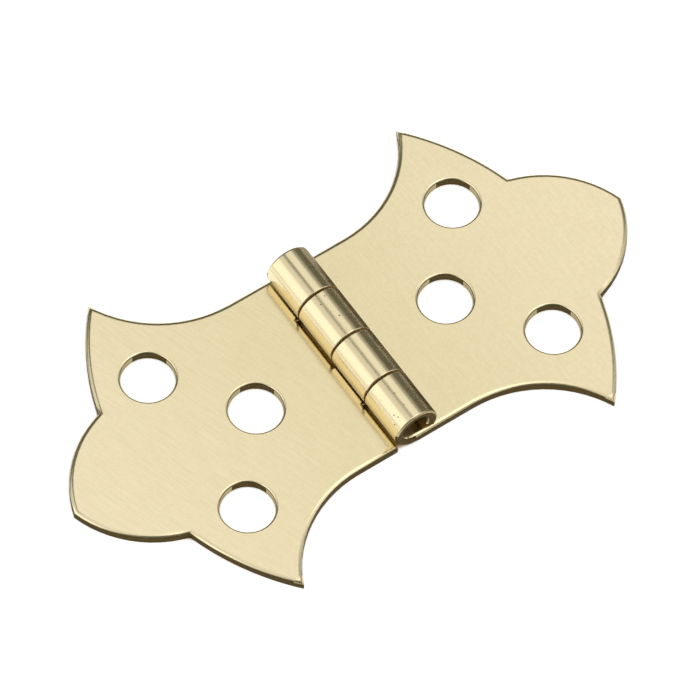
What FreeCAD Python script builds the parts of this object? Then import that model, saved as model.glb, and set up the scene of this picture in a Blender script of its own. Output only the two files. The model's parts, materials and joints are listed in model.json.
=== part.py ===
import FreeCAD, Part
import os
import Sketcher
from enum import IntEnum
from math import atan2, pi
from FreeCAD import Placement, Rotation, Vector

# Butterfly hinge, in millimetres. Two identical leaves are stamped from sheet brass with a
# butterfly-wing outline, and each rolls knuckles from the tabs on its hinge side. The
# knuckles interleave round one plain pin, whose ends lie inside the barrel's open ends.
# X runs from leaf to leaf, Y along the pin, and Z = 0 is the back of both leaves when the
# hinge lies flat. The origin is on that back plane, under the middle of the pin.

# Driving dimensions: name, value and what it is.
DIMENSIONS = [
    ("open_width", 60.3, "lobe tip to lobe tip, hinge laid flat"),
    ("leaf_height", 34.9, "ear tip to ear tip of one leaf"),
    ("ear_reach", 17.05, "ear tips from the pin axis"),
    ("cusp_reach", 22.6, "cusps beside the lobe from the pin axis"),
    ("cusp_spacing", 14.9, "cusp to cusp of one leaf"),
    ("cusp_radius", 0.15, "rounding inside the cusps"),
    ("straight_run", 6.3, "end of the straight sides from the pin axis"),
    ("ear_bulge", 0.64, "rise of the arc from ear tip to cusp over its chord"),
    ("lobe_bulge", 1.36, "rise of the arc from cusp to lobe tip over its chord"),
    ("sheet_thickness", 0.9, "stamped sheet"),
    ("die_roll", 0.28, "rounding that the punch draws into the outline's front edge"),
    ("barrel_length", 21.0, "barrel, and the width of the leaves beside it"),
    ("knuckle_gap", 0.2, "gap between neighbouring knuckles"),
    ("edge_break", 0.12, "chamfer on the knuckles' outer rims"),
    ("seam_gap", 0.35, "slit between the end of a roll and its own leaf"),
    ("leaf_clearance", 0.25, "gap between a leaf and the other leaf's knuckles"),
    ("pin_diameter", 2.6, "hinge pin"),
    ("pin_clearance", 0.05, "running clearance round the pin"),
    ("pin_recess", 1.6, "depth of the pin's ends inside the barrel"),
    ("pin_chamfer", 0.2, "chamfer on the pin's ends"),
    ("hole_diameter", 5.1, "screw holes"),
    ("hole_chamfer", 0.25, "chamfer on their front rims"),
    ("outer_hole_reach", 16.8, "outer pair of screw holes from the pin axis"),
    ("outer_hole_spacing", 16.15, "hole to hole of that pair"),
    ("inner_hole_reach", 10.45, "inner screw hole from the pin axis"),
]
KNUCKLES_PER_LEAF = 2

# Sizes that follow from the driving ones, as expressions on the spreadsheet.
BORE_RADIUS = "(dimensions.pin_diameter / 2 + dimensions.pin_clearance)"
BARREL_RADIUS = f"({BORE_RADIUS} + dimensions.sheet_thickness)"
BARREL_END = "(dimensions.barrel_length / 2)"
KNUCKLE_COUNT = 2 * KNUCKLES_PER_LEAF
KNUCKLE_GAPS = f"({KNUCKLE_COUNT - 1} * dimensions.knuckle_gap)"
KNUCKLE_LENGTH = f"((dimensions.barrel_length - {KNUCKLE_GAPS}) / {KNUCKLE_COUNT})"
KNUCKLE_PITCH = f"({KNUCKLE_LENGTH} + dimensions.knuckle_gap)"
# A knuckle's side stands furthest out over a leaf at the height of the leaf's front face.
NOTCH_REACH = f"(sqrt({BARREL_RADIUS} ^ 2 - {BORE_RADIUS} ^ 2) + dimensions.leaf_clearance)"
# The roll stops where its outer corner is one seam above the front face of its own leaf.
ROLL_DROP = f"(1 - (dimensions.sheet_thickness + dimensions.seam_gap) / {BARREL_RADIUS})"
ROLL_ANGLE = f"360 deg - acos({ROLL_DROP})"

# How a sketch numbers its own axes and origin, and the points of each curve.
Axis = IntEnum("Axis", {"X": -1, "Y": -2})
Point = IntEnum("Point", "START END CENTRE")
ORIGIN = (Axis.X, Point.START)

TOLERANCE = 1e-4


def make_sheet(doc):
    """Spreadsheet of the driving dimensions, each with its name as alias."""
    sheet = doc.addObject("Spreadsheet::Sheet", "dimensions")
    for row, (name, value, meaning) in enumerate(DIMENSIONS, start=1):
        sheet.set(f"A{row}", name)
        sheet.set(f"B{row}", str(value))
        sheet.set(f"C{row}", meaning)
        sheet.setAlias(f"B{row}", name)
    doc.recompute()


def origin_feature(body, role):
    """A plane or an axis of a body's own origin."""
    return next(f for f in body.Origin.OriginFeatures if f.Role == role)


def add_sketch(body, name, plane):
    """Empty sketch on one of the body's origin planes."""
    sketch = body.newObject("Sketcher::SketchObject", name)
    sketch.AttachmentSupport = [(origin_feature(body, plane), "")]
    sketch.MapMode = "FlatFace"
    return sketch


def value_of(sketch, expression):
    """Present value of an expression, as a plain number."""
    return float(sketch.evalExpression(expression))


def drive(sketch, expression, kind, *where):
    """Dimension in a sketch, bound to an expression on the spreadsheet."""
    start = value_of(sketch, expression)
    index = sketch.addConstraint(Sketcher.Constraint(kind, *where, start))
    sketch.setExpression(f"Constraints[{index}]", expression)


def relate(sketch, kind, *where):
    """Geometric relation in a sketch."""
    sketch.addConstraint(Sketcher.Constraint(kind, *where))


def place_of(sketch, x, y):
    """Present place of a point given by two expressions, where None is nought."""
    return Vector(*(0 if c is None else value_of(sketch, c) for c in (x, y)), 0)


def fix_point(sketch, point, x, y):
    """Tie a point to two expressions, where None keeps it on the other axis."""
    if x is None:
        relate(sketch, "PointOnObject", *point, Axis.Y)
    else:
        drive(sketch, x, "DistanceX", *ORIGIN, *point)
    if y is None:
        relate(sketch, "PointOnObject", *point, Axis.X)
    else:
        drive(sketch, y, "DistanceY", *ORIGIN, *point)


def arc_about(centre, start, end):
    """Arc that runs counterclockwise about a centre from one point to another."""
    first = atan2(start.y - centre.y, start.x - centre.x)
    last = atan2(end.y - centre.y, end.x - centre.x)
    if last < first:
        last += 2 * pi
    circle = Part.Circle(centre, Vector(0, 0, 1), start.distanceToPoint(centre))
    return Part.ArcOfCircle(circle, first, last)


def bulged_arc(start, end, bulge):
    """Arc over a chord that rises outwards, to the right of the way along it."""
    along = end - start
    radius = along.Length ** 2 / (8 * bulge) + bulge / 2
    inwards = Vector(-along.y, along.x, 0).normalize()
    centre = (start + end) / 2 + inwards * (radius - bulge)
    return arc_about(centre, start, end)


def hollow_arc(foot, tip):
    """Arc that leaves a side parallel to X at its foot, and hollows out to a tip."""
    run = tip.x - foot.x
    rise = tip.y - foot.y
    centre = foot + Vector(0, (run ** 2 + rise ** 2) / (2 * rise), 0)
    if rise > 0:
        return arc_about(centre, foot, tip)
    return arc_about(centre, tip, foot)


def bulge_radius(run, rise, bulge):
    """Expression for the radius of an arc with a given bulge over a chord."""
    return f"((({run}) ^ 2 + ({rise}) ^ 2) / (8 * {bulge}) + {bulge} / 2)"


def tab_start(number):
    """Expression for the Y at which one of a leaf's tabs begins."""
    return f"({2 * number} * {KNUCKLE_PITCH} - {BARREL_END})"


def tab_end(number):
    """Expression for the Y at which one of a leaf's tabs ends."""
    return f"({tab_start(number)} + {KNUCKLE_LENGTH})"


def draw_outline(body):
    """Outline of one leaf, counterclockwise, with its tabs on the hinge side.

    Each corner has its place and the edge that leaves it: a line, a hollow arc that meets
    the straight side smoothly, or an arc that bulges over the ear or the lobe.
    """
    run_out = "dimensions.straight_run"
    ear_x = "dimensions.ear_reach"
    ear_y = "(dimensions.leaf_height / 2)"
    cusp_x = "dimensions.cusp_reach"
    cusp_y = "(dimensions.cusp_spacing / 2)"
    lobe_x = "(dimensions.open_width / 2)"
    corners = [
        (None, f"-{BARREL_END}", "line"),
        (run_out, f"-{BARREL_END}", "hollow"),
        (ear_x, f"-{ear_y}", "ear"),
        (cusp_x, f"-{cusp_y}", "lobe"),
        (lobe_x, None, "lobe"),
        (cusp_x, cusp_y, "ear"),
        (ear_x, ear_y, "hollow"),
        (run_out, BARREL_END, "line"),
        (NOTCH_REACH, BARREL_END, "line"),
    ]
    for number in reversed(range(KNUCKLES_PER_LEAF)):
        corners += [
            (NOTCH_REACH, tab_end(number), "line"),
            (None, tab_end(number), "line"),
        ]
        if number > 0:
            corners += [
                (None, tab_start(number), "line"),
                (NOTCH_REACH, tab_start(number), "line"),
            ]
    bulges = {
        "ear": ("dimensions.ear_bulge", f"{cusp_x} - {ear_x}", f"{ear_y} - {cusp_y}"),
        "lobe": ("dimensions.lobe_bulge", f"{lobe_x} - {cusp_x}", cusp_y),
    }

    sketch = add_sketch(body, "outline", "XY_Plane")
    places = [place_of(sketch, x, y) for x, y, _ in corners]
    edges = []
    for index, (_, _, kind) in enumerate(corners):
        here = places[index]
        there = places[(index + 1) % len(places)]
        ends = (Point.START, Point.END)
        if kind == "line":
            curve = Part.LineSegment(here, there)
        elif kind == "hollow":
            foot, tip = sorted((here, there), key=lambda p: p.x)
            curve = hollow_arc(foot, tip)
            # This arc runs against the outline's own way round.
            ends = (Point.END, Point.START)
        else:
            curve = bulged_arc(here, there, value_of(sketch, bulges[kind][0]))
        edges.append((sketch.addGeometry(curve, False), *ends))

    for index, (x, y, kind) in enumerate(corners):
        edge, start, _ = edges[index]
        before, _, end = edges[index - 1]
        joint = "Tangent" if x == run_out else "Coincident"
        relate(sketch, joint, before, end, edge, start)
        fix_point(sketch, (edge, start), x, y)
        if kind in bulges:
            bulge, run, rise = bulges[kind]
            drive(sketch, bulge_radius(run, rise, bulge), "Radius", edge)
    return sketch


def draw_holes(body):
    """Screw holes of one leaf: an outer pair and one near the barrel."""
    sketch = add_sketch(body, "screw_holes", "XY_Plane")
    pair_y = "dimensions.outer_hole_spacing / 2"
    centres = [
        ("dimensions.outer_hole_reach", pair_y),
        ("dimensions.outer_hole_reach", f"-{pair_y}"),
        ("dimensions.inner_hole_reach", None),
    ]
    radius = value_of(sketch, "dimensions.hole_diameter / 2")
    for x, y in centres:
        circle = Part.Circle(place_of(sketch, x, y), Vector(0, 0, 1), radius)
        hole = sketch.addGeometry(circle, False)
        fix_point(sketch, (hole, Point.CENTRE), x, y)
        drive(sketch, "dimensions.hole_diameter", "Diameter", hole)
    return sketch


def draw_roll(body):
    """Section of a leaf's first tab, to be rolled about the pin axis.

    The sheet's back becomes the outside of the roll, with its rims broken, and its front
    becomes the bore.
    """
    break_size = "dimensions.edge_break"
    thickness = "dimensions.sheet_thickness"
    first = tab_start(0)
    last = tab_end(0)
    corners = [
        (f"{first} + {break_size}", None),
        (f"{last} - {break_size}", None),
        (last, break_size),
        (last, thickness),
        (first, thickness),
        (first, break_size),
    ]
    sketch = add_sketch(body, "roll_section", "YZ_Plane")
    places = [place_of(sketch, *corner) for corner in corners]
    sides = [
        sketch.addGeometry(Part.LineSegment(here, there), False)
        for here, there in zip(places, places[1:] + places[:1])
    ]
    for index, (along, up) in enumerate(corners):
        relate(sketch, "Coincident", sides[index - 1], Point.END, sides[index], Point.START)
        fix_point(sketch, (sides[index], Point.START), along, up)

    ends = [place_of(sketch, along, BARREL_RADIUS) for along in (first, last)]
    axis = sketch.addGeometry(Part.LineSegment(*ends), True)
    fix_point(sketch, (axis, Point.START), first, BARREL_RADIUS)
    fix_point(sketch, (axis, Point.END), last, BARREL_RADIUS)
    return sketch


def edges_where(shape, wanted):
    """Names of the edges whose bounding box passes a test."""
    return [f"Edge{i}" for i, edge in enumerate(shape.Edges, start=1) if wanted(edge.BoundBox)]


def near(first, second):
    """Whether two lengths agree."""
    return abs(first - second) < TOLERANCE


def make_leaf(doc, label, turn):
    """One leaf: a stamped blank with its front edges drawn in, pierced, and its tabs rolled."""
    body = doc.addObject("PartDesign::Body", label)
    body.Label = label
    front = value_of(body, "dimensions.sheet_thickness")
    notch = value_of(body, NOTCH_REACH)
    cusp = value_of(body, "dimensions.cusp_reach")
    hole = value_of(body, "dimensions.hole_diameter")

    blank = body.newObject("PartDesign::Pad", "blank")
    blank.Profile = draw_outline(body)
    blank.setExpression("Length", "dimensions.sheet_thickness")
    doc.recompute()

    cusps = body.newObject("PartDesign::Fillet", "cusps")
    uprights = edges_where(blank.Shape, lambda box: near(box.XMin, cusp) and near(box.XMax, cusp))
    cusps.Base = (blank, uprights)
    cusps.setExpression("Radius", "dimensions.cusp_radius")
    doc.recompute()

    # The punch rounds the front of the outline, but not the notches between the tabs.
    outline = body.newObject("PartDesign::Fillet", "front_edges")
    borders = edges_where(cusps.Shape, lambda box: near(box.ZMin, front) and box.XMax > notch + TOLERANCE)
    outline.Base = (cusps, borders)
    outline.setExpression("Radius", "dimensions.die_roll")
    doc.recompute()

    holes = body.newObject("PartDesign::Pocket", "screw_hole_cuts")
    holes.Profile = draw_holes(body)
    holes.Type = "ThroughAll"
    # The sketch is on the leaf's back, so the cut goes up through the sheet.
    holes.Reversed = True
    doc.recompute()

    hole_rims = body.newObject("PartDesign::Chamfer", "hole_rims")
    rims = edges_where(holes.Shape, lambda box: near(box.ZMin, front) and near(box.XLength, hole))
    hole_rims.Base = (holes, rims)
    hole_rims.setExpression("Size", "dimensions.hole_chamfer")
    doc.recompute()

    section = draw_roll(body)
    knuckle = body.newObject("PartDesign::Revolution", "knuckle")
    knuckle.Profile = section
    knuckle.ReferenceAxis = (section, ["Axis0"])
    knuckle.setExpression("Angle", ROLL_ANGLE)
    doc.recompute()

    knuckles = body.newObject("PartDesign::LinearPattern", "knuckles")
    knuckles.Originals = [knuckle]
    knuckles.Direction = (origin_feature(body, "Y_Axis"), [""])
    knuckles.setExpression("Length", f"{2 * (KNUCKLES_PER_LEAF - 1)} * {KNUCKLE_PITCH}")
    knuckles.Occurrences = KNUCKLES_PER_LEAF
    body.Tip = knuckles
    body.Placement = Placement(Vector(0, 0, 0), Rotation(Vector(0, 0, 1), turn))
    doc.recompute()
    return body


def make_pin(doc, label):
    """Plain pin on the barrel's axis, with its ends inside the barrel."""
    body = doc.addObject("PartDesign::Body", label)
    body.Label = label
    sketch = add_sketch(body, "pin_section", "XZ_Plane")
    centre = place_of(sketch, None, BARREL_RADIUS)
    radius = value_of(sketch, "dimensions.pin_diameter / 2")
    circle = sketch.addGeometry(Part.Circle(centre, Vector(0, 0, 1), radius), False)
    fix_point(sketch, (circle, Point.CENTRE), None, BARREL_RADIUS)
    drive(sketch, "dimensions.pin_diameter", "Diameter", circle)

    wire = body.newObject("PartDesign::Pad", "wire")
    wire.Profile = sketch
    wire.SideType = "Symmetric"
    wire.setExpression("Length", "dimensions.barrel_length - 2 * dimensions.pin_recess")
    doc.recompute()

    ends = body.newObject("PartDesign::Chamfer", "ends")
    ends.Base = (wire, edges_where(wire.Shape, lambda box: near(box.YMin, box.YMax)))
    ends.setExpression("Size", "dimensions.pin_chamfer")
    body.Tip = ends
    doc.recompute()
    return body


def check(doc, bodies):
    """Stop if an object failed, or a sub-part isn't one sound solid."""
    for item in doc.Objects:
        if "Invalid" in item.State or "Error" in item.State:
            raise RuntimeError(f"{item.Label} failed: {item.State}")
    for body in bodies:
        shape = body.Shape
        if shape.isNull() or not shape.isValid() or len(shape.Solids) != 1:
            raise RuntimeError(f"{body.Label} is not one sound solid")


def main():
    """Build the hinge and write each sub-part."""
    doc = FreeCAD.newDocument("butterfly_hinge")
    make_sheet(doc)
    bodies = [
        make_leaf(doc, "left_leaf", 180),
        make_leaf(doc, "right_leaf", 0),
        make_pin(doc, "hinge_pin"),
    ]
    doc.recompute()
    check(doc, bodies)
    os.makedirs("parts", exist_ok=True)
    for body in bodies:
        body.Shape.exportStep(f"parts/{body.Label}.step")
        box = body.Shape.optimalBoundingBox()
        size = [round(side, 2) for side in (box.XLength, box.YLength, box.ZLength)]
        print(body.Label, "size", size, "volume", round(body.Shape.Volume, 2))


main()
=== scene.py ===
"""Looks of a butterfly hinge: two stamped brass leaves with rolled knuckles, on one pin.

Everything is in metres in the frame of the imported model: X from leaf to leaf, Y along the
pin, and Z = 0 at the back of the leaves.
"""

import json
import logging
from dataclasses import dataclass
from enum import Enum, IntEnum
from math import acos, asin, ceil, cos, hypot, pi, radians, sin, sqrt, tan

import bmesh
import bpy
from bmesh.types import BMEdge, BMesh, BMFace, BMVert
from mathutils import Matrix, Vector


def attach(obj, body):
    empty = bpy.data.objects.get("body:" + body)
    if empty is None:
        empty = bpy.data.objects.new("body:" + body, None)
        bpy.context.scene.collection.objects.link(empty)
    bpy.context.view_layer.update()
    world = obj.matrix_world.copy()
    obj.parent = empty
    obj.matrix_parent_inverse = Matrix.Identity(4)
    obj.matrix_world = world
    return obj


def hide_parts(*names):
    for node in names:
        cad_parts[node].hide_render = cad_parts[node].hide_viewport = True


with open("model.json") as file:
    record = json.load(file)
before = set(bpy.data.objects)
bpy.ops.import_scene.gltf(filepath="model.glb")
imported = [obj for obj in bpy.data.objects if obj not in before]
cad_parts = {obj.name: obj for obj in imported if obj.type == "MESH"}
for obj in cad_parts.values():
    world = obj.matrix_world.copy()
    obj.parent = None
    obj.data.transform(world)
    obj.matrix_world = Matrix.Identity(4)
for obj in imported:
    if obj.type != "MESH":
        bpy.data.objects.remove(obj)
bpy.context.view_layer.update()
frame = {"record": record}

log = logging.getLogger("butterfly_hinge")

MM = 0.001
TINY = 1e-7
NEAR = 1e-6

# Where most of a noise's values lie: the narrower pair gives a pattern more contrast.
NOISE_SPAN = (0.25, 0.75)
NOISE_CORE = (0.35, 0.65)


def linear(colour: str) -> tuple[float, float, float, float]:
    """Turn an sRGB hex colour to linear light.

    Args:
        colour: Six hex digits, red first.

    Returns:
        Linear red, green, blue and an alpha of one.
    """
    parts = (int(colour[i:i + 2], 16) / 255 for i in (0, 2, 4))
    return (*(p / 12.92 if p <= 0.04045 else ((p + 0.055) / 1.055) ** 2.4 for p in parts), 1.0)


def add(
    tree: bpy.types.NodeTree,
    kind: str,
    inputs: dict[str | int, object] | None = None,
    **settings: object,
) -> bpy.types.Node:
    """Add a node to a tree, with its settings and its inputs.

    Args:
        tree: The tree that gets the node.
        kind: Blender's name for the kind of node.
        inputs: Values or output sockets, by the name or number of the input they go to.
        **settings: Properties of the node.

    Returns:
        The new node.
    """
    node = tree.nodes.new(kind)
    for name, value in settings.items():
        setattr(node, name, value)
    for name, value in (inputs or {}).items():
        if isinstance(value, bpy.types.NodeSocket):
            tree.links.new(value, node.inputs[name])
        else:
            node.inputs[name].default_value = value
    return node


def new_material(name: str) -> tuple[bpy.types.Material, bpy.types.NodeTree, bpy.types.Node]:
    """Make a material that holds only its output node.

    Args:
        name: Name of the finish.

    Returns:
        The material, its node tree and its output node.
    """
    material = bpy.data.materials.new(name)
    material.use_nodes = True
    tree = material.node_tree
    tree.nodes.clear()
    return material, tree, add(tree, "ShaderNodeOutputMaterial")


@dataclass(frozen=True)
class SatinBrass:
    """Sheet brass, brushed along the pin and lacquered: a soft sheen with a faint fine grain.

    The real brush marks are finer. They are drawn as coarse as they need to be to show.
    """

    name: str
    grain_lean: float
    pale: str = "EEE1BE"
    # Painted shade: the darker colour the sheet takes towards the knuckles.
    knuckle_shade: str = "E2D4AC"
    grain: str = "B8A470"
    grain_share: float = 0.1
    roughness: float = 0.2
    roughness_swing: float = 0.02
    line_spacing: float = 0.22 * MM
    line_length: float = 3.0 * MM
    mottle_size: float = 0.4 * MM
    mottle_share: float = 0.45
    grain_depth: float = 0.0002 * MM
    cloud_size: float = 9.0 * MM
    cloud_share: float = 0.25
    knuckle_shade_reach: float = 3.0 * MM
    pale_reach: float = 27.0 * MM

    def material(self) -> bpy.types.Material:
        """Build the material.

        Returns:
            The satin brass material.
        """
        material, tree, output = new_material(self.name)
        place = add(tree, "ShaderNodeTexCoord").outputs["Object"]
        stretched = add(
            tree,
            "ShaderNodeMapping",
            {
                "Vector": place,
                "Rotation": (0, 0, self.grain_lean),
                "Scale": (self.line_spacing, self.line_length, self.line_spacing),
            },
            vector_type="TEXTURE",
        )
        lines = add(
            tree,
            "ShaderNodeTexNoise",
            {"Vector": stretched.outputs[0], "Scale": 1.0, "Detail": 2.0},
        )
        mottle = add(
            tree,
            "ShaderNodeTexNoise",
            {"Vector": place, "Scale": 1 / self.mottle_size, "Detail": 2.0},
        )
        clouds = add(
            tree,
            "ShaderNodeTexNoise",
            {"Vector": place, "Scale": 1 / self.cloud_size, "Detail": 2.0},
        )
        # The sheet is darker and warmer towards the knuckles: painted shade by the barrel, with random
        # clouds mixed in.
        across = add(tree, "ShaderNodeSeparateXYZ", {0: place})
        reach = add(tree, "ShaderNodeMath", {0: across.outputs["X"]}, operation="ABSOLUTE")
        fade = add(
            tree,
            "ShaderNodeMapRange",
            {0: reach.outputs[0], 1: self.knuckle_shade_reach, 2: self.pale_reach, 3: 1.0, 4: 0.0},
        )
        shade_and_clouds = add(
            tree,
            "ShaderNodeMix",
            {0: self.cloud_share, 2: fade.outputs[0], 3: clouds.outputs[0]},
        )
        plain = add(
            tree,
            "ShaderNodeMix",
            {0: shade_and_clouds.outputs[0], 6: linear(self.pale), 7: linear(self.knuckle_shade)},
            data_type="RGBA",
        )
        broken = add(
            tree,
            "ShaderNodeMix",
            {0: self.mottle_share, 2: lines.outputs[0], 3: mottle.outputs[0]},
        )
        depth = add(
            tree,
            "ShaderNodeMapRange",
            {0: broken.outputs[0], 1: NOISE_CORE[0], 2: NOISE_CORE[1], 3: 0.0, 4: self.grain_share},
        )
        colour = add(
            tree,
            "ShaderNodeMix",
            {0: depth.outputs[0], 6: plain.outputs[2], 7: linear(self.grain)},
            data_type="RGBA",
        )
        roughness = add(
            tree,
            "ShaderNodeMapRange",
            {
                0: lines.outputs[0],
                1: NOISE_SPAN[0],
                2: NOISE_SPAN[1],
                3: self.roughness - self.roughness_swing,
                4: self.roughness + self.roughness_swing,
            },
        )
        bump = add(
            tree,
            "ShaderNodeBump",
            {"Height": lines.outputs[0], "Distance": self.grain_depth, "Strength": 1.0},
        )
        shader = add(
            tree,
            "ShaderNodeBsdfPrincipled",
            {
                "Base Color": colour.outputs[2],
                "Metallic": 1.0,
                "Roughness": roughness.outputs[0],
                "Normal": bump.outputs[0],
            },
        )
        tree.links.new(shader.outputs[0], output.inputs["Surface"])
        return material


@dataclass(frozen=True)
class PolishedBrass:
    """Rolled brass, burnished by the dies: long clear reflections, broken by lines, pits and painted
    shade on one flank.

    The real draw lines are finer. They are drawn as coarse as they need to be to show.
    """

    clean: str = "E9DBB4"
    pitted: str = "54462A"
    # Painted shade: the darker colour of the flank that turns down to the right leaf.
    flank_shade_colour: str = "8E7F58"
    flank_shade_start: float = 0.9 * MM
    flank_shade_full: float = 1.5 * MM
    flank_shade_size: float = 0.6 * MM
    flank_shade_spread: float = 0.5 * MM
    flank_shade_roughness: float = 0.16
    roughness: float = 0.22
    roughness_swing: float = 0.03
    line_spacing: float = 0.35 * MM
    line_length: float = 6.0 * MM
    line_depth: float = 0.0008 * MM
    pit_spacing: float = 0.4 * MM
    pit_radius: float = 0.09 * MM
    pit_floor_radius: float = 0.045 * MM
    pit_depth: float = 0.012 * MM
    worn_places: tuple[tuple[float, float, float], ...] = (
        (-0.25 * MM, 3.6 * MM, 4.5 * MM),
        (-1.6 * MM, -8.6 * MM, 3.8 * MM),
    )
    worn_reach: float = 2.0 * MM

    def material(self) -> bpy.types.Material:
        """Build the material.

        Returns:
            The polished brass material.
        """
        material, tree, output = new_material("brass_rolled_polished")
        place = add(tree, "ShaderNodeTexCoord").outputs["Object"]
        stretched = add(
            tree,
            "ShaderNodeMapping",
            {
                "Vector": place,
                "Scale": (1 / self.line_spacing, 1 / self.line_length, 1 / self.line_spacing),
            },
        )
        lines = add(
            tree,
            "ShaderNodeTexNoise",
            {"Vector": stretched.outputs[0], "Scale": 1.0, "Detail": 2.0},
        )
        # Pits lie round a few worn places, and the fewer the further away.
        dots = add(tree, "ShaderNodeTexVoronoi", {"Vector": place, "Scale": 1 / self.pit_spacing})
        worn = 0.0
        for spot in self.worn_places:
            away = add(tree, "ShaderNodeVectorMath", {0: place, 1: spot}, operation="DISTANCE")
            near = add(
                tree,
                "ShaderNodeMapRange",
                {0: away.outputs["Value"], 1: self.worn_reach, 2: 0.0, 3: 0.0, 4: 1.0},
            )
            nearest = add(tree, "ShaderNodeMath", {0: near.outputs[0], 1: worn}, operation="MAXIMUM")
            worn = nearest.outputs[0]
        chance = add(tree, "ShaderNodeSeparateColor", {0: dots.outputs["Color"]})
        shown = add(tree, "ShaderNodeMath", {0: worn, 1: chance.outputs[0]}, operation="GREATER_THAN")
        pit = add(
            tree,
            "ShaderNodeMapRange",
            {
                0: dots.outputs["Distance"],
                1: self.pit_radius / self.pit_spacing,
                2: self.pit_floor_radius / self.pit_spacing,
                3: 0.0,
                4: shown.outputs[0],
            },
        )
        # The flank that turns down to the right leaf is darker in blotches, as painted shade for the dark
        # reflection there, and rougher.
        across = add(tree, "ShaderNodeSeparateXYZ", {0: place})
        blotches = add(
            tree,
            "ShaderNodeTexNoise",
            {"Vector": place, "Scale": 1 / self.flank_shade_size, "Detail": 3.0},
        )
        ragged = add(
            tree,
            "ShaderNodeMath",
            {0: blotches.outputs[0], 1: self.flank_shade_spread, 2: across.outputs["X"]},
            operation="MULTIPLY_ADD",
        )
        half_spread = self.flank_shade_spread / 2
        flank_shade = add(
            tree,
            "ShaderNodeMapRange",
            {
                0: ragged.outputs[0],
                1: self.flank_shade_start + half_spread,
                2: self.flank_shade_full + half_spread,
                3: 0.0,
                4: 1.0,
            },
        )
        plain = add(
            tree,
            "ShaderNodeMix",
            {0: flank_shade.outputs[0], 6: linear(self.clean), 7: linear(self.flank_shade_colour)},
            data_type="RGBA",
        )
        colour = add(
            tree,
            "ShaderNodeMix",
            {0: pit.outputs[0], 6: plain.outputs[2], 7: linear(self.pitted)},
            data_type="RGBA",
        )
        burnished = add(
            tree,
            "ShaderNodeMapRange",
            {
                0: lines.outputs[0],
                1: NOISE_SPAN[0],
                2: NOISE_SPAN[1],
                3: self.roughness - self.roughness_swing,
                4: self.roughness + self.roughness_swing,
            },
        )
        roughness = add(
            tree,
            "ShaderNodeMath",
            {0: flank_shade.outputs[0], 1: self.flank_shade_roughness, 2: burnished.outputs[0]},
            operation="MULTIPLY_ADD",
        )
        drawn = add(
            tree,
            "ShaderNodeBump",
            {"Height": lines.outputs[0], "Distance": self.line_depth, "Strength": 1.0},
        )
        bump = add(
            tree,
            "ShaderNodeBump",
            {
                "Height": pit.outputs[0],
                "Distance": self.pit_depth,
                "Strength": 1.0,
                "Normal": drawn.outputs[0],
            },
            invert=True,
        )
        shader = add(
            tree,
            "ShaderNodeBsdfPrincipled",
            {
                "Base Color": colour.outputs[2],
                "Metallic": 1.0,
                "Roughness": roughness.outputs[0],
                "Normal": bump.outputs[0],
            },
        )
        tree.links.new(shader.outputs[0], output.inputs["Surface"])
        return material


@dataclass(frozen=True)
class DullBrass:
    """Brass that was cut, rubbed or left dirty: browner than the sheet, blurred, and scored across it.

    The real scores are finer. They are drawn as coarse as they need to be to show.
    """

    name: str
    bright: str
    dull: str
    glancing: str = "D3D0CB"
    roughness: float = 0.4
    score_spacing: float = 0.12 * MM
    score_length: float = 1.2 * MM
    score_depth: float = 0.004 * MM

    def material(self) -> bpy.types.Material:
        """Build the material.

        Returns:
            The dull brass material.
        """
        material, tree, output = new_material(self.name)
        place = add(tree, "ShaderNodeTexCoord").outputs["Object"]
        stretched = add(
            tree,
            "ShaderNodeMapping",
            {
                "Vector": place,
                "Scale": (1 / self.score_spacing, 1 / self.score_spacing, 1 / self.score_length),
            },
        )
        scores = add(
            tree,
            "ShaderNodeTexNoise",
            {"Vector": stretched.outputs[0], "Scale": 1.0, "Detail": 2.0},
        )
        colour = add(
            tree,
            "ShaderNodeMix",
            {0: scores.outputs[0], 6: linear(self.bright), 7: linear(self.dull)},
            data_type="RGBA",
        )
        bump = add(
            tree,
            "ShaderNodeBump",
            {"Height": scores.outputs[0], "Distance": self.score_depth, "Strength": 1.0},
        )
        shader = add(
            tree,
            "ShaderNodeBsdfPrincipled",
            {
                "Base Color": colour.outputs[2],
                "Metallic": 1.0,
                "Specular Tint": linear(self.glancing),
                "Roughness": self.roughness,
                "Normal": bump.outputs[0],
            },
        )
        tree.links.new(shader.outputs[0], output.inputs["Surface"])
        return material


@dataclass(frozen=True)
class DrawnWireBrass:
    """Drawn brass wire: a plain semi-bright skin with fine lines along it.

    The real lines are finer. They are drawn as coarse as they need to be to show.
    """

    clean: str = "DCCB9C"
    dark: str = "C6B482"
    roughness: float = 0.4
    line_spacing: float = 0.12 * MM
    line_length: float = 5.0 * MM

    def material(self) -> bpy.types.Material:
        """Build the material.

        Returns:
            The wire material.
        """
        material, tree, output = new_material("brass_drawn_wire")
        place = add(tree, "ShaderNodeTexCoord").outputs["Object"]
        stretched = add(
            tree,
            "ShaderNodeMapping",
            {
                "Vector": place,
                "Scale": (1 / self.line_spacing, 1 / self.line_length, 1 / self.line_spacing),
            },
        )
        lines = add(
            tree,
            "ShaderNodeTexNoise",
            {"Vector": stretched.outputs[0], "Scale": 1.0, "Detail": 2.0},
        )
        colour = add(
            tree,
            "ShaderNodeMix",
            {0: lines.outputs[0], 6: linear(self.clean), 7: linear(self.dark)},
            data_type="RGBA",
        )
        shader = add(
            tree,
            "ShaderNodeBsdfPrincipled",
            {"Base Color": colour.outputs[2], "Metallic": 1.0, "Roughness": self.roughness},
        )
        tree.links.new(shader.outputs[0], output.inputs["Surface"])
        return material


class Dress(IntEnum):
    """Material slots of a leaf, in order."""

    SATIN = 0
    POLISHED = 1
    # The sheared brass is darkened as painted shade.
    SHEARED_SHADED = 2
    DULLED = 3
    GRIMED = 4


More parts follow.
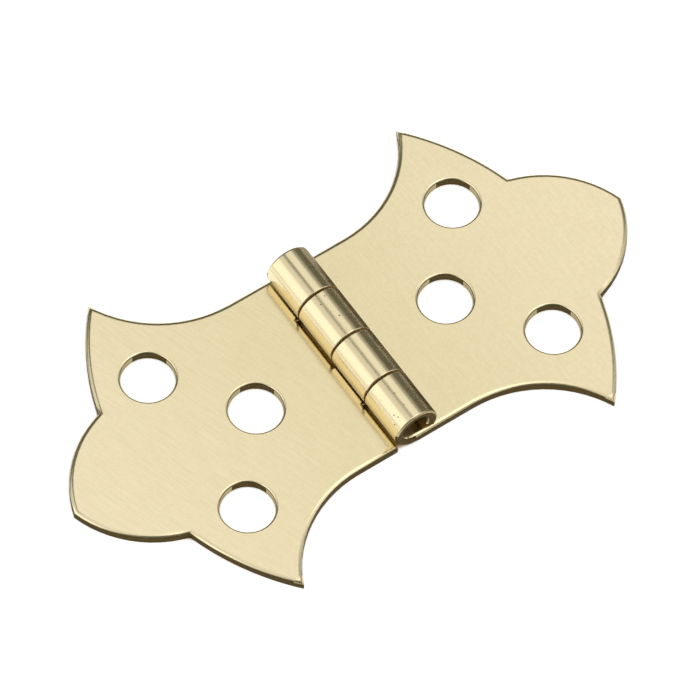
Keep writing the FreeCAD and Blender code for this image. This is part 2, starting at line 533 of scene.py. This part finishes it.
class Side(Enum):
    """The two leaves: the word in their names, and how far each is turned about Z."""

    LEFT = ("left", pi)
    RIGHT = ("right", 0.0)

    @property
    def word(self) -> str:
        """Word for the side in the names of nodes, bodies and holes."""
        return self.value[0]

    @property
    def node(self) -> str:
        """Name of the leaf's CAD node."""
        return f"{self.word}_leaf"

    @property
    def body(self) -> str:
        """Name of the CAD body that the leaf rides on."""
        return f"{self.word}_half"

    @property
    def turn(self) -> float:
        """Turn about Z from the right leaf to this one."""
        return self.value[1]


def round_edges(bm: BMesh, edges: list[BMEdge], radius: float, segments: int) -> None:
    """Round some edges of a mesh.

    Args:
        bm: The mesh.
        edges: Edges to round.
        radius: Radius of the rounding.
        segments: Facets across it.
    """
    bmesh.ops.bevel(
        bm,
        geom=edges,
        offset=radius,
        offset_type="OFFSET",
        affect="EDGES",
        segments=segments,
        profile=0.5,
        material=-1,
        clamp_overlap=False,
        loop_slide=False,
    )


def make_object(
    bm: BMesh,
    name: str,
    materials: list[bpy.types.Material],
    crease: float,
) -> bpy.types.Object:
    """Turn a finished mesh into an object of the scene.

    Args:
        bm: The mesh, which is freed.
        name: Name of the object.
        materials: Its material slots.
        crease: Smallest angle between faces that still shows as a sharp edge.

    Returns:
        The new object, smooth-shaded, with large faces ruling the normals.
    """
    for face in bm.faces:
        face.smooth = True
    for edge in bm.edges:
        edge.smooth = edge.calc_face_angle(0.0) < crease
    mesh = bpy.data.meshes.new(name)
    bm.to_mesh(mesh)
    bm.free()
    for material in materials:
        mesh.materials.append(material)
    piece = bpy.data.objects.new(name, mesh)
    bpy.context.scene.collection.objects.link(piece)
    normals = piece.modifiers.new("large_faces_rule", "WEIGHTED_NORMAL")
    normals.keep_sharp = True
    return piece


@dataclass
class Leaf:
    """One stamped leaf with its rolled knuckles, modelled as the right one and then turned."""

    side: Side
    lobe_reach: float = 30.15 * MM
    ear_reach: float = 17.05 * MM
    ear_height: float = 17.45 * MM
    cusp_reach: float = 22.6 * MM
    cusp_height: float = 7.45 * MM
    straight_run: float = 6.3 * MM
    ear_bulge: float = 0.64 * MM
    lobe_bulge: float = 1.36 * MM
    thickness: float = 0.9 * MM
    half_barrel: float = 10.5 * MM
    knuckle_length: float = 5.1 * MM
    knuckle_pitch: float = 5.3 * MM
    notch_reach: float = 2.05 * MM
    axis_height: float = 2.25 * MM
    seam_gap: float = 0.35 * MM
    draw_width: float = 0.48 * MM
    draw_depth: float = 0.3 * MM
    hole_rounding: float = 0.24 * MM
    end_rounding: float = 0.26 * MM
    rim_rounding: float = 0.1 * MM
    # Bearing and spread of the hole walls that are painted dark, as painted reflection.
    dark_wall_bearing: float = radians(53)
    dark_wall_spread: float = radians(38)
    chord: float = 1.0 * MM
    flatness: float = radians(1)
    hole_slack: float = 1.01
    hole_segments: int = 96
    draw_segments: int = 7
    hole_rim_segments: int = 5
    rim_segments: int = 4
    roll_steps: int = 90
    crease: float = radians(32)
    # Parts of a face's normal along Z, along Y or out from the pin, which tell one surface from another.
    flat_z: float = 0.99
    drawn_in_z: float = 0.6
    wall_z: float = 0.5
    hole_rim_z: float = 0.33
    back_z: float = -0.5
    inside_out: float = -0.1
    inside_wall_y: float = 0.2
    inside_end_y: float = 0.6
    # Upward part of the normal above which the lip inside the end gets a painted highlight.
    lit_lip_z: float = 0.35
    cap_out: float = 0.2
    cap_y: float = 0.1
    side_y: float = 0.9
    # Parts of the normal that pick the rounding at the barrel's end for painted shade.
    darkened_rim_y: float = 0.35
    darkest_rim_y: float = 0.1
    darkest_rim_z: float = 0.2

    @property
    def roll_angle(self) -> float:
        """How far the sheet is rolled about the pin, from the bottom of the barrel."""
        return 2 * pi - acos(1 - (self.thickness + self.seam_gap) / self.axis_height)

    def tabs(self) -> list[tuple[float, float]]:
        """Where the two tabs begin and end along Y."""
        starts = (2 * number * self.knuckle_pitch - self.half_barrel for number in range(2))
        return [(start, start + self.knuckle_length) for start in starts]

    def holes(self) -> list[tuple[Vector, float]]:
        """Centres and radii of the screw holes, from the record's bores.

        Returns:
            One centre on the back plane and one radius for each hole of the right leaf.
        """
        turned_back = Matrix.Rotation(-self.side.turn, 3, "Z")
        found = []
        for mount in frame["record"]["mounts"]:
            if mount["kind"] == "bore" and mount["name"].startswith(self.side.word):
                centre = turned_back @ Vector(mount["pos_m"])
                centre.z = 0.0
                found.append((centre, mount["dims"]["r_mm"] * MM))
        return found

    def line_to(self, bm: BMesh, pen: BMVert, x: float, y: float) -> BMVert:
        """Draw a straight side.

        Args:
            bm: The mesh.
            pen: Where the side starts.
            x: X of its end.
            y: Y of its end.

        Returns:
            The vertex at its end.
        """
        end = bmesh.ops.extrude_vert_indiv(bm, verts=[pen])["verts"][0]
        end.co = (x, y, 0.0)
        return end

    def arc_to(self, bm: BMesh, pen: BMVert, x: float, y: float, rise: float) -> BMVert:
        """Draw an arc.

        Args:
            bm: The mesh.
            pen: Where the arc starts.
            x: X of its end.
            y: Y of its end.
            rise: How far its middle stands out of the chord, or into it where negative.

        Returns:
            The vertex at its end.
        """
        start = pen.co.copy()
        end = Vector((x, y, 0.0))
        along = end - start
        radius = along.length_squared / (8 * rise) + rise / 2
        inwards = Vector((-along.y, along.x, 0.0)).normalized()
        angle = 2 * asin(along.length / (2 * radius))
        drawn = bmesh.ops.spin(
            bm,
            geom=[pen],
            cent=(start + end) / 2 + inwards * (radius - rise),
            axis=(0, 0, 1),
            angle=angle,
            steps=ceil(angle * radius / self.chord),
            use_merge=False,
            use_duplicate=False,
        )
        return next(item for item in drawn["geom_last"] if isinstance(item, BMVert))

    def draw_outline(self, bm: BMesh) -> None:
        """Draw the stamped outline on the back plane, counterclockwise from the first tab.

        Args:
            bm: The mesh.
        """
        half = self.half_barrel
        run = self.ear_reach - self.straight_run
        rise = self.ear_height - half
        hollow_radius = (run ** 2 + rise ** 2) / (2 * rise)
        hollow = sqrt(hollow_radius ** 2 - (run ** 2 + rise ** 2) / 4) - hollow_radius
        first = bm.verts.new((0.0, -half, 0.0))
        pen = self.line_to(bm, first, self.straight_run, -half)
        pen = self.arc_to(bm, pen, self.ear_reach, -self.ear_height, hollow)
        pen = self.arc_to(bm, pen, self.cusp_reach, -self.cusp_height, self.ear_bulge)
        pen = self.arc_to(bm, pen, self.lobe_reach, 0.0, self.lobe_bulge)
        pen = self.arc_to(bm, pen, self.cusp_reach, self.cusp_height, self.lobe_bulge)
        pen = self.arc_to(bm, pen, self.ear_reach, self.ear_height, self.ear_bulge)
        pen = self.arc_to(bm, pen, self.straight_run, half, hollow)
        pen = self.line_to(bm, pen, self.notch_reach, half)
        for start, end in reversed(self.tabs()):
            pen = self.line_to(bm, pen, self.notch_reach, end)
            pen = self.line_to(bm, pen, 0.0, end)
            if start > -half + TINY:
                pen = self.line_to(bm, pen, 0.0, start)
                pen = self.line_to(bm, pen, self.notch_reach, start)
        bm.edges.new((pen, first))

    def stamp(self, bm: BMesh) -> None:
        """Make the flat blank: fill the outline round the holes and give it its thickness.

        Args:
            bm: The mesh.
        """
        self.draw_outline(bm)
        for centre, radius in self.holes():
            bmesh.ops.create_circle(
                bm,
                cap_ends=False,
                segments=self.hole_segments,
                radius=radius,
                matrix=Matrix.Translation(centre),
            )
        bmesh.ops.triangle_fill(bm, use_beauty=True, use_dissolve=False, edges=bm.edges[:])
        bmesh.ops.dissolve_limit(bm, angle_limit=self.flatness, verts=[], edges=bm.edges[:])
        front = bmesh.ops.extrude_face_region(bm, geom=bm.faces[:], use_keep_orig=True)
        raised = [item for item in front["geom"] if isinstance(item, BMVert)]
        bmesh.ops.translate(bm, vec=(0.0, 0.0, self.thickness), verts=raised)
        bmesh.ops.recalc_face_normals(bm, faces=bm.faces[:])

    def draw_in_front_edges(self, bm: BMesh) -> None:
        """Round the outline's front edge and the front rims of the holes.

        Args:
            bm: The mesh.
        """
        outline: list[BMEdge] = []
        rims: list[BMEdge] = []
        for edge in bm.edges:
            on_front = all(abs(v.co.z - self.thickness) < TINY for v in edge.verts)
            on_wall = any(abs(face.normal.z) < self.wall_z for face in edge.link_faces)
            if not (on_front and on_wall):
                continue
            if self.in_hole(sum((v.co for v in edge.verts), Vector()) / 2):
                rims.append(edge)
            elif max(v.co.x for v in edge.verts) > TINY:
                outline.append(edge)
        round_edges(bm, outline, self.draw_width, self.draw_segments)
        # The punch draws the surface in further than it presses it down.
        for vert in bm.verts:
            fall = self.thickness - vert.co.z
            if vert.co.x > self.notch_reach - TINY and TINY < fall < self.draw_width + TINY:
                vert.co.z = self.thickness - fall * self.draw_depth / self.draw_width
        rims = [edge for edge in rims if edge.is_valid]
        round_edges(bm, rims, self.hole_rounding, self.hole_rim_segments)

    def radius_of(self, point: Vector) -> float:
        """Distance of a point from the pin axis."""
        return hypot(point.x, point.z - self.axis_height)

    def roll_knuckles(self, bm: BMesh) -> None:
        """Roll the tabs about the pin axis, and round the rims of the rolls.

        Args:
            bm: The mesh.
        """
        rolled = bm.faces.layers.int.new("rolled")
        flat = set(bm.faces)
        ends = [face for face in bm.faces if all(abs(v.co.x) < TINY for v in face.verts)]
        for face in ends:
            bmesh.ops.spin(
                bm,
                geom=[face, *face.edges, *face.verts],
                cent=(0.0, 0.0, self.axis_height),
                axis=(0, 1, 0),
                angle=self.roll_angle,
                steps=self.roll_steps,
                use_merge=False,
                use_duplicate=False,
            )
        for face in bm.faces:
            face[rolled] = int(face not in flat)
        bmesh.ops.recalc_face_normals(bm, faces=bm.faces[:])
        ends_of_barrel = [-self.half_barrel]
        sides_of_gaps = [y for tab in self.tabs() for y in tab if y > TINY - self.half_barrel]
        roundings = ((ends_of_barrel, self.end_rounding), (sides_of_gaps, self.rim_rounding))
        for places, rounding in roundings:
            rims = [
                edge
                for edge in bm.edges
                if all(abs(self.radius_of(v.co) - self.axis_height) < NEAR for v in edge.verts)
                and any(all(abs(v.co.y - y) < NEAR for v in edge.verts) for y in places)
            ]
            round_edges(bm, rims, rounding, self.rim_segments)

    def in_hole(self, point: Vector) -> bool:
        """Whether a point lies on the wall or the rim of a screw hole."""
        return any(
            (point.xy - centre.xy).length < self.hole_slack * radius for centre, radius in self.holes()
        )

    def plate_finish(self, face: BMFace) -> Dress:
        """Choose the finish of a face of the flat sheet.

        Args:
            face: The face.

        Returns:
            Its finish: satin in front and behind, sheared on the cut edges, grimed under the barrel, and
                on hole walls dark or pale by their facing, as painted reflection.
        """
        normal = face.normal
        lean = abs(normal.z)
        if all(v.co.x < self.notch_reach + TINY for v in face.verts):
            return Dress.GRIMED if normal.z > self.back_z else Dress.SATIN
        if lean > self.flat_z:
            return Dress.SATIN
        if not self.in_hole(face.calc_center_median()):
            return Dress.SATIN if lean > self.drawn_in_z else Dress.SHEARED_SHADED
        # Hole walls that face along one bearing, to either side, get the dark sheared brown and the
        # others the paler rubbed or satin brass: a painted dark and light reflection.
        across = abs(normal.x * cos(self.dark_wall_bearing) + normal.y * sin(self.dark_wall_bearing))
        if across > cos(self.dark_wall_spread) * hypot(normal.x, normal.y):
            return Dress.SHEARED_SHADED
        return Dress.SATIN if lean > self.hole_rim_z else Dress.DULLED

    def roll_finish(self, face: BMFace) -> Dress:
        """Choose the finish of a face of a knuckle.

        Args:
            face: The face.

        Returns:
            Its finish: polished outside, dull inside, sheared at the barrel's ends, grimed in the gaps,
                with painted shade on the end's rounding and a painted highlight on the lip inside the
                end.
        """
        normal = face.normal
        endwise = abs(normal.y)
        middle = face.calc_center_median()
        outwards = Vector((middle.x, 0.0, middle.z - self.axis_height)).normalized()
        facing = normal.dot(outwards)
        at_end = middle.y < 2 * self.end_rounding - self.half_barrel
        if facing < self.inside_out:
            if not at_end or endwise < self.inside_wall_y:
                return Dress.DULLED
            if endwise > self.inside_end_y:
                return Dress.SHEARED_SHADED
            # Painted highlight: inside the end, the lip that faces up gets the paler satin brass, the
            # rest the duller brass.
            return Dress.SATIN if normal.z > self.lit_lip_z else Dress.DULLED
        if abs(facing) < self.cap_out and endwise < self.cap_y:
            return Dress.GRIMED
        if endwise > self.side_y:
            return Dress.SHEARED_SHADED if at_end else Dress.GRIMED
        # Painted shade on the rounding at the barrel's end: the sheared brown on its lower side, and the
        # duller, darker brass on the rest.
        if at_end and outwards.z < self.darkest_rim_z and endwise > self.darkest_rim_y:
            return Dress.SHEARED_SHADED
        return Dress.DULLED if at_end and endwise > self.darkened_rim_y else Dress.POLISHED

    def dress_faces(self, bm: BMesh) -> None:
        """Give each face its finish.

        Args:
            bm: The mesh.
        """
        rolled = bm.faces.layers.int["rolled"]
        for face in bm.faces:
            face.material_index = self.roll_finish(face) if face[rolled] else self.plate_finish(face)

    def build(self, finishes: dict[Dress, bpy.types.Material]) -> bpy.types.Object:
        """Model the leaf, dress it and put it in its node's place.

        Args:
            finishes: Material of each slot.

        Returns:
            The leaf's object.
        """
        bm = bmesh.new()
        self.stamp(bm)
        self.draw_in_front_edges(bm)
        self.roll_knuckles(bm)
        bmesh.ops.remove_doubles(bm, verts=bm.verts[:], dist=TINY)
        bmesh.ops.recalc_face_normals(bm, faces=bm.faces[:])
        bm.normal_update()
        self.dress_faces(bm)
        bmesh.ops.rotate(
            bm,
            cent=(0.0, 0.0, 0.0),
            matrix=Matrix.Rotation(self.side.turn, 3, "Z"),
            verts=bm.verts[:],
        )
        slots = [finishes[dress] for dress in Dress]
        piece = make_object(bm, f"{self.side.word}_stamped_leaf", slots, self.crease)
        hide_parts(self.side.node)
        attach(piece, self.side.body)
        return piece


@dataclass
class HingePin:
    """Plain wire pin, whose ends lie inside the barrel."""

    radius: float = 1.3 * MM
    length: float = 17.8 * MM
    axis_height: float = 2.25 * MM
    end_rounding: float = 0.2 * MM
    end_segments: int = 3
    end_y: float = 0.2
    segments: int = 64
    crease: float = radians(40)

    def build(self, skin: bpy.types.Material, cropped_shaded: bpy.types.Material) -> bpy.types.Object:
        """Model the pin, dress it and put it in its node's place.

        Args:
            skin: Material along the wire.
            cropped_shaded: Material of its two ends.

        Returns:
            The pin's object.
        """
        bm = bmesh.new()
        far_end = Matrix.Translation((0.0, self.length / 2, self.axis_height))
        bmesh.ops.create_circle(
            bm,
            cap_ends=True,
            segments=self.segments,
            radius=self.radius,
            matrix=far_end @ Matrix.Rotation(pi / 2, 4, "X"),
        )
        drawn = bmesh.ops.extrude_face_region(bm, geom=bm.faces[:], use_keep_orig=True)
        moved = [item for item in drawn["geom"] if isinstance(item, BMVert)]
        bmesh.ops.translate(bm, vec=(0.0, -self.length, 0.0), verts=moved)
        bmesh.ops.recalc_face_normals(bm, faces=bm.faces[:])
        rims = [edge for edge in bm.edges if abs(edge.verts[0].co.y - edge.verts[1].co.y) < TINY]
        round_edges(bm, rims, self.end_rounding, self.end_segments)
        bmesh.ops.recalc_face_normals(bm, faces=bm.faces[:])
        bm.normal_update()
        for face in bm.faces:
            face.material_index = int(abs(face.normal.y) > self.end_y)
        piece = make_object(bm, "wire_pin", [skin, cropped_shaded], self.crease)
        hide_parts("hinge_pin")
        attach(piece, "left_half")
        return piece


def hang_lamp(
    name: str,
    width: float,
    length: float,
    radiance: float,
    place: Matrix,
) -> bpy.types.Object:
    """Hang a rectangular soft lamp that the camera doesn't see.

    Args:
        name: Name of the lamp.
        width: Size along its own X.
        length: Size along its own Y.
        radiance: How bright its face is.
        place: Where it hangs, its face towards its own -Z.

    Returns:
        The lamp's object.
    """
    lamp = bpy.data.lights.new(name, "AREA")
    lamp.shape = "RECTANGLE"
    lamp.size = width
    lamp.size_y = length
    lamp.energy = pi * width * length * radiance
    holder = bpy.data.objects.new(name, lamp)
    holder.matrix_world = place
    holder.visible_camera = False
    bpy.context.scene.collection.objects.link(holder)
    return holder


@dataclass(frozen=True)
class Softbox:
    """A long soft lamp parallel to the pin, given by the angles it spans about the pin axis."""

    name: str
    first_angle: float
    last_angle: float
    near_end: float
    far_end: float
    radiance: float
    distance: float = 0.8

    def hang(self) -> bpy.types.Object:
        """Hang the lamp, facing the hinge.

        Returns:
            The lamp's object.
        """
        width = 2 * self.distance * tan((self.last_angle - self.first_angle) / 2)
        leaning = Matrix.Rotation((self.first_angle + self.last_angle) / 2, 4, "Y")
        out = Matrix.Translation((0.0, (self.near_end + self.far_end) / 2, self.distance))
        return hang_lamp(self.name, width, self.far_end - self.near_end, self.radiance, leaning @ out)


@dataclass(frozen=True)
class FrontCard:
    """A white card that stands before the hinge, given by where it stands and by its size."""

    name: str
    bearing: float
    elevation: float
    width: float
    height: float
    radiance: float
    distance: float = 0.8

    def hang(self) -> bpy.types.Object:
        """Stand the card up, facing the hinge.

        Returns:
            The lamp's object.
        """
        turned = Matrix.Rotation(self.bearing, 4, "Z")
        leaning = turned @ Matrix.Rotation(pi / 2 - self.elevation, 4, "X")
        out = Matrix.Translation((0.0, 0.0, self.distance))
        return hang_lamp(self.name, self.width, self.height, self.radiance, leaning @ out)


@dataclass
class Studio:
    """Pale floor, soft lamps, a dim room round them, and the camera."""

    floor_size: float = 6.0
    floor_drop: float = 0.02 * MM
    floor_colour: str = "F4F4F4"
    # Painted shade: the brown the floor is given deep between the brass edges.
    crevice_shade_colour: str = "C6A03A"
    covered_sky: float = 0.38
    open_sky: float = 0.53
    sky_reach: float = 1.0 * MM
    floor_glow: float = 0.6
    room_colour: str = "666458"
    azimuth: float = radians(-36.8977)
    elevation: float = radians(59.4317)
    roll: float = radians(2.86)
    distance: float = 753.75 * MM
    aim: tuple[float, float, float] = (0.0, 0.0, 0.9 * MM)
    slide: tuple[float, float] = (-0.0954 * MM, 0.268 * MM)
    lens: float = 426.5
    sensor: float = 36.0
    nearest: float = 0.01
    furthest: float = 20.0

    def lay_floor(self) -> bpy.types.Object:
        """Lay the floor, which glows a little to the camera and in the metal.

        Returns:
            The floor's object.
        """
        bm = bmesh.new()
        bmesh.ops.create_grid(bm, x_segments=1, y_segments=1, size=self.floor_size / 2)
        bmesh.ops.translate(bm, vec=(0.0, 0.0, -self.floor_drop), verts=bm.verts[:])
        mesh = bpy.data.meshes.new("floor")
        bm.to_mesh(mesh)
        bm.free()
        material, tree, output = new_material("paper_matt_white")
        path = add(tree, "ShaderNodeLightPath")
        seen = path.outputs["Is Camera Ray"]
        for other in ("Is Glossy Ray", "Is Transmission Ray"):
            either = add(tree, "ShaderNodeMath", {0: seen, 1: path.outputs[other]}, operation="MAXIMUM")
            seen = either.outputs[0]
        # Matt white paper, flat and without shine. Deep between the brass edges, where the ambient
        # occlusion is low, it is painted with a brown shade and doesn't glow.
        sky = add(tree, "ShaderNodeAmbientOcclusion", {"Distance": self.sky_reach})
        bare = add(
            tree,
            "ShaderNodeMapRange",
            {0: sky.outputs["AO"], 1: self.covered_sky, 2: self.open_sky, 3: 0.0, 4: 1.0},
        )
        level = add(
            tree,
            "ShaderNodeMath",
            {0: bare.outputs[0], 1: self.floor_glow},
            operation="MULTIPLY",
        )
        strength = add(tree, "ShaderNodeMath", {0: seen, 1: level.outputs[0]}, operation="MULTIPLY")
        glow = add(tree, "ShaderNodeEmission", {"Strength": strength.outputs[0]})
        shade = add(
            tree,
            "ShaderNodeMix",
            {0: bare.outputs[0], 6: linear(self.crevice_shade_colour), 7: linear(self.floor_colour)},
            data_type="RGBA",
        )
        paper = add(tree, "ShaderNodeBsdfDiffuse", {"Color": shade.outputs[2]})
        both = add(tree, "ShaderNodeAddShader", {0: paper.outputs[0], 1: glow.outputs[0]})
        tree.links.new(both.outputs[0], output.inputs["Surface"])
        mesh.materials.append(material)
        floor = bpy.data.objects.new("floor", mesh)
        bpy.context.scene.collection.objects.link(floor)
        return floor

    def light_room(self) -> list[bpy.types.Object]:
        """Hang the softboxes and set the level of the room.

        Returns:
            The lamps' objects.
        """
        world = bpy.data.worlds.new("dim_room")
        bpy.context.scene.world = world
        world.use_nodes = True
        world.node_tree.nodes["Background"].inputs["Color"].default_value = linear(self.room_colour)
        # Angles about the pin, ends along it, brightness, and distance where it isn't the usual one.
        boxes = (
            Softbox("softbox_left", radians(-90), radians(-11), -0.3, 1.1, 0.74),
            Softbox("softbox_left_core", radians(-80), radians(-36), -0.12, 0.6, 0.5, 0.75),
            Softbox("softbox_overhead", radians(0), radians(34), -0.75, 0.56, 0.65),
            Softbox("softbox_overhead_skirt", radians(2), radians(48), -0.75, 0.56, 0.3, 0.85),
            Softbox("softbox_bridge", radians(-11), radians(0), -0.4, 0.3, 0.9),
            Softbox("softbox_near", radians(0), radians(36), -0.75, 0.02, 0.6, 0.78),
            Softbox("softbox_near_right", radians(36), radians(76), -0.7, 0.05, 0.5),
            FrontCard("card_front", radians(32), radians(27), 1.0, 0.5, 0.4),
        )
        return [box.hang() for box in boxes]

    def set_camera(self) -> bpy.types.Object:
        """Place the camera where the photograph was taken from.

        Returns:
            The camera's object.
        """
        back = Vector(
            (
                sin(self.azimuth) * cos(self.elevation),
                -cos(self.azimuth) * cos(self.elevation),
                sin(self.elevation),
            )
        )
        right = Vector((cos(self.azimuth), sin(self.azimuth), 0.0))
        level = Matrix((right, back.cross(right), back)).transposed()
        turned = level @ Matrix.Rotation(self.roll, 3, "Z")
        place = Vector(self.aim) + turned @ Vector((*self.slide, self.distance))
        lens = bpy.data.cameras.new("camera")
        lens.lens = self.lens
        lens.sensor_width = self.sensor
        lens.clip_start = self.nearest
        lens.clip_end = self.furthest
        camera = bpy.data.objects.new("camera", lens)
        camera.matrix_world = Matrix.Translation(place) @ turned.to_4x4()
        bpy.context.scene.collection.objects.link(camera)
        bpy.context.scene.camera = camera
        return camera


def satin_of(side: Side) -> bpy.types.Material:
    """Make the satin brass of one leaf.

    Each leaf is cut from a blank of its own, so the grain leans differently on it.

    Args:
        side: The leaf.

    Returns:
        Its satin material.
    """
    if side is Side.LEFT:
        brass = SatinBrass("brass_brushed_satin_left", grain_lean=radians(18))
    else:
        brass = SatinBrass("brass_brushed_satin_right", grain_lean=radians(1), mottle_share=0.65)
    return brass.material()


def main() -> None:
    """Build the hinge's pieces in order, then the studio round them."""
    logging.basicConfig(level=logging.INFO, format="%(message)s")
    # Cut by the punch: brown, and darkened further as painted shade for the dark reflections in the cut
    # walls.
    sheared_and_shaded = DullBrass("brass_sheared_edge_shaded", bright="5C4D2C", dull="40341D")
    # Rubbed by the tools: pale, with a blurred shine.
    rubbed = DullBrass("brass_burnished_dull", bright="C4B894", dull="A3966F")
    # Old lacquer and dust in the gaps: brown, with hardly a shine.
    grimed = DullBrass("brass_grimed_gap", bright="DCC38A", dull="C2A66A", roughness=0.7)
    # Cropped by a cutter: a dull dark end on bright wire, made darker still as painted shade for the bore
    # it sits in.
    cropped_shaded = DullBrass("brass_cropped_wire_shaded", bright="93835F", dull="7D6D49")
    satin = {side: satin_of(side) for side in Side}
    finishes = {
        Dress.POLISHED: PolishedBrass().material(),
        Dress.SHEARED_SHADED: sheared_and_shaded.material(),
        Dress.DULLED: rubbed.material(),
        Dress.GRIMED: grimed.material(),
    }
    pieces = [Leaf(side).build({Dress.SATIN: satin[side], **finishes}) for side in Side]
    pieces.append(HingePin().build(DrawnWireBrass().material(), cropped_shaded.material()))
    for piece in pieces:
        log.info("%s: %d faces", piece.name, len(piece.data.polygons))

    studio = Studio()
    studio.lay_floor()
    for lamp in studio.light_room():
        log.info("%s: %.2f by %.2f m", lamp.name, lamp.data.size, lamp.data.size_y)
    studio.set_camera()
    bpy.context.scene.view_settings.view_transform = "Standard"


if __name__ == "__main__":
    main()
